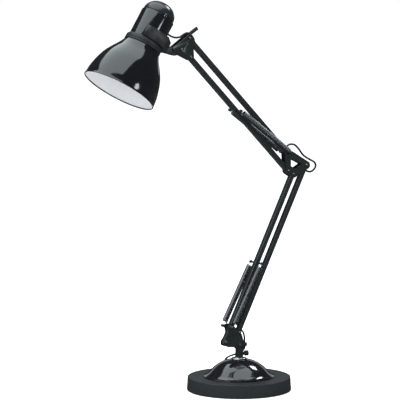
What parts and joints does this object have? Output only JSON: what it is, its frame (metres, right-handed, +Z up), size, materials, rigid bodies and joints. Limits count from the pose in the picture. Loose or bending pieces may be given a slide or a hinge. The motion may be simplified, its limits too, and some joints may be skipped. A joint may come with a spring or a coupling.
{
  "type": "architect desk lamp",
  "caption": "Swing-arm desk lamp: round weighted base, swivelling post, two sprung parallelogram arms and a tilting, swivelling bell shade.",
  "frame": {"origin": "centre of the base's underside, on the surface that the lamp stands on", "axes": "+Z up; the arms lie in the XZ plane with the shade towards -X; front plates are towards -Y"},
  "size_m": [0.5377, 0.27, 0.7889],
  "materials": {
    "rubber_pad": "matt moulded rubber",
    "satin_charcoal": "satin charcoal paint",
    "cast_iron": "raw casting",
    "gloss_black": "high-gloss black enamel, the shade's inside white",
    "satin_black": "semi-gloss black paint",
    "bright_steel": "zinc-plated fasteners",
    "moulded_black": "fine-grained moulded plastic",
    "spring_steel": "blackened spring wire",
    "porcelain": "glazed porcelain",
    "bulb_glass": "frosted bulb",
    "cord_black": "smooth flexible cord sheath"
  },
  "bodies": {
    "base": {"base_pad": "rubber_pad", "base_shell": "satin_charcoal", "base_weight": "cast_iron", "dome_cover": "gloss_black", "spindle": "satin_black", "spindle_nut": "bright_steel", "mains_cord": "cord_black", "cord_coil": "cord_black", "cord_tail": "cord_black", "plug": "moulded_black"},
    "turret": {"swivel_post": "satin_black", "bracket_plate_front": "satin_black", "bracket_plate_back": "satin_black", "bracket_screw": "bright_steel", "pivot_lower_left": "bright_steel", "pivot_lower_right": "bright_steel", "spring_stud_front": "bright_steel", "spring_stud_back": "bright_steel", "cord_gland": "moulded_black", "strain_relief": "moulded_black", "lower_spring_front": "spring_steel", "lower_spring_back": "spring_steel", "lower_lead": "cord_black"},
    "thumb_screw": {"thumb_screw": "moulded_black"},
    "lower_right": {"lower_rail_right": "satin_black"},
    "lower_left": {"lower_rail_left": "satin_black", "lower_spring_pin": "bright_steel"},
    "elbow": {"elbow_plate_front": "satin_black", "elbow_plate_back": "satin_black", "pivot_elbow_top": "bright_steel", "pivot_elbow_low": "bright_steel", "pivot_elbow_left": "bright_steel", "pivot_elbow_right": "bright_steel", "upper_spring_front": "spring_steel", "upper_spring_back": "spring_steel", "elbow_lead": "cord_black"},
    "upper_top": {"upper_rail_top": "satin_black"},
    "upper_low": {"upper_rail_low": "satin_black", "upper_spring_pin": "bright_steel"},
    "head_bracket": {"head_plate_front": "satin_black", "head_plate_back": "satin_black", "plate_spacer": "bright_steel", "knob_bolt": "bright_steel", "pivot_head_low": "bright_steel", "tilt_bolt": "bright_steel", "head_lead": "cord_black"},
    "wing_knob": {"wing_knob": "moulded_black"},
    "head_stem": {"head_stem": "moulded_black"},
    "head": {"shade": "gloss_black", "shade_ring": "porcelain", "collar_ring": "satin_charcoal", "housing": "gloss_black", "housing_cap": "gloss_black", "head_clamp": "moulded_black", "lamp_holder": "porcelain", "bulb_cap": "bright_steel", "bulb_glass": "bulb_glass", "holder_plate": "bright_steel", "switch_body": "moulded_black"},
    "switch_knob": {"switch_knob": "moulded_black"}
  },
  "joints": [
    {"name": "post_swivel", "type": "hinge", "parent": "base", "child": "turret", "pos_m": [0, 0, 0.075], "axis": [0, 0, 1], "range_deg": [-120, 120], "deforming": ["mains_cord"]},
    {"name": "thumb_screw_turn", "type": "hinge", "parent": "turret", "child": "thumb_screw", "pos_m": [0.018, 0, 0.073], "axis": [1, 0, 0], "continuous": true},
    {"name": "lower_arm", "type": "hinge", "parent": "turret", "child": "lower_right", "pos_m": [-0.0036, 0, 0.1173], "axis": [0, -1, 0], "range_deg": [-17, 50], "deforming": ["lower_spring_front", "lower_spring_back", "lower_lead"]},
    {"name": "lower_left_follow", "type": "hinge", "parent": "turret", "child": "lower_left", "pos_m": [-0.0357, 0, 0.1009], "axis": [0, -1, 0], "range_deg": [-17, 50], "deforming": ["lower_spring_front", "lower_spring_back"]},
    {"name": "elbow_level", "type": "hinge", "parent": "lower_right", "child": "elbow", "pos_m": [0.1622, 0, 0.44695], "axis": [0, -1, 0], "range_deg": [-50, 17], "deforming": ["elbow_lead"]},
    {"name": "upper_arm", "type": "hinge", "parent": "elbow", "child": "upper_top", "pos_m": [0.1146, 0, 0.47555], "axis": [0, -1, 0], "range_deg": [-22, 50], "deforming": ["upper_spring_front", "upper_spring_back", "elbow_lead"]},
    {"name": "upper_low_follow", "type": "hinge", "parent": "elbow", "child": "upper_low", "pos_m": [0.1179, 0, 0.43795], "axis": [0, -1, 0], "range_deg": [-22, 50], "deforming": ["upper_spring_front", "upper_spring_back"]},
    {"name": "head_level", "type": "hinge", "parent": "upper_top", "child": "head_bracket", "pos_m": [-0.12328, 0, 0.71426], "axis": [0, -1, 0], "range_deg": [-50, 22], "deforming": ["head_lead"]},
    {"name": "wing_knob_turn", "type": "hinge", "parent": "head_bracket", "child": "wing_knob", "pos_m": [-0.12328, 0.012, 0.71426], "axis": [0, 1, 0], "continuous": true},
    {"name": "head_tilt", "type": "hinge", "parent": "head_bracket", "child": "head_stem", "pos_m": [-0.14178, 0, 0.69196], "axis": [0, -1, 0], "range_deg": [-34, 60], "deforming": ["head_lead"]},
    {"name": "head_swivel", "type": "hinge", "parent": "head_stem", "child": "head", "pos_m": [-0.17734, 0, 0.69673], "axis": [0.8415, 0, -0.5402], "range_deg": [-90, 90], "deforming": ["head_lead"]},
    {"name": "switch_turn", "type": "hinge", "parent": "head", "child": "switch_knob", "pos_m": [-0.20708, 0.038, 0.74851], "axis": [0, 1, 0], "continuous": true}
  ],
  "couplings": [
    {"joint": "lower_left_follow", "follows": "lower_arm", "ratio": 1},
    {"joint": "elbow_level", "follows": "lower_arm", "ratio": -1},
    {"joint": "upper_low_follow", "follows": "upper_arm", "ratio": 1},
    {"joint": "head_level", "follows": "upper_arm", "ratio": -1}
  ]
}
